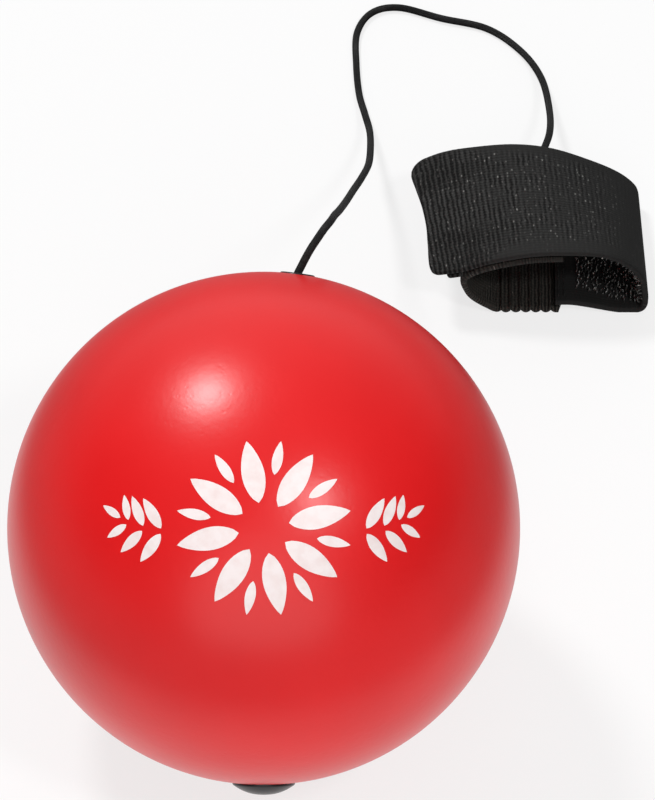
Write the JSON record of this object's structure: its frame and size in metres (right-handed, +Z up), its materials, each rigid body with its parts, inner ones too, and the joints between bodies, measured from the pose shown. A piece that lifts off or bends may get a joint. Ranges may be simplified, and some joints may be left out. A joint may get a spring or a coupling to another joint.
{
  "type": "stress ball",
  "caption": "Squeezable foam ball on a thin elastic cord, with a closed hook-and-loop strap at the cord's far end.",
  "frame": {"origin": "where the ball rests on the table, the middle of its contact patch", "axes": "+Z up; +Y away from the viewer, the way the cord leaves the ball; +X to the viewer's right, where the strap lies"},
  "size_m": [0.084, 0.153, 0.0631],
  "materials": {
    "red_foam_skin": "satin",
    "black_plastic": "satin",
    "washer_steel": "satin",
    "black_elastic_cord": "matte",
    "black_webbing": "matte",
    "black_elastic": "matte",
    "black_hook_tape": "matte"
  },
  "bodies": {
    "ball": {"foam_ball": "red_foam_skin", "end_cap": "black_plastic", "anchor_washer": "washer_steel", "anchor_knot": "black_elastic_cord", "bore_cord": "black_elastic_cord"},
    "eyelet": {"top_eyelet": "black_plastic"},
    "cord": {"free_cord": "black_elastic_cord"},
    "strap": {"strap_band": "black_webbing", "elastic_panel": "black_elastic", "strap_eyelet": "black_plastic", "strap_knot": "black_elastic_cord"},
    "tab": {"strap_tab": "black_webbing", "hook_patch": "black_hook_tape"}
  },
  "joints": [
    {"name": "squeeze", "type": "slide", "parent": "ball", "child": "eyelet", "axis": [-0.0663, -0.7644, -0.6414], "range_m": [0, 0.018], "stiffness_N_per_m": 1200, "deforming": ["foam_ball"]},
    {"name": "cord_swing", "type": "hinge", "parent": "ball", "child": "cord", "pos_m": [0.00426, 0.02491, 0.05225], "axis": [0, 0, 1], "range_deg": [-40, 40]},
    {"name": "cord_stretch", "type": "slide", "parent": "cord", "child": "strap", "axis": [0.5235, 0.852, 0], "range_m": [0, 0.2], "stiffness_N_per_m": 12, "deforming": ["free_cord"]},
    {"name": "strap_open", "type": "hinge", "parent": "strap", "child": "tab", "pos_m": [0.0446, 0.0725, 0.0109], "axis": [-0.0396, 0.9909, -0.1288], "range_deg": [0, 100]}
  ]
}
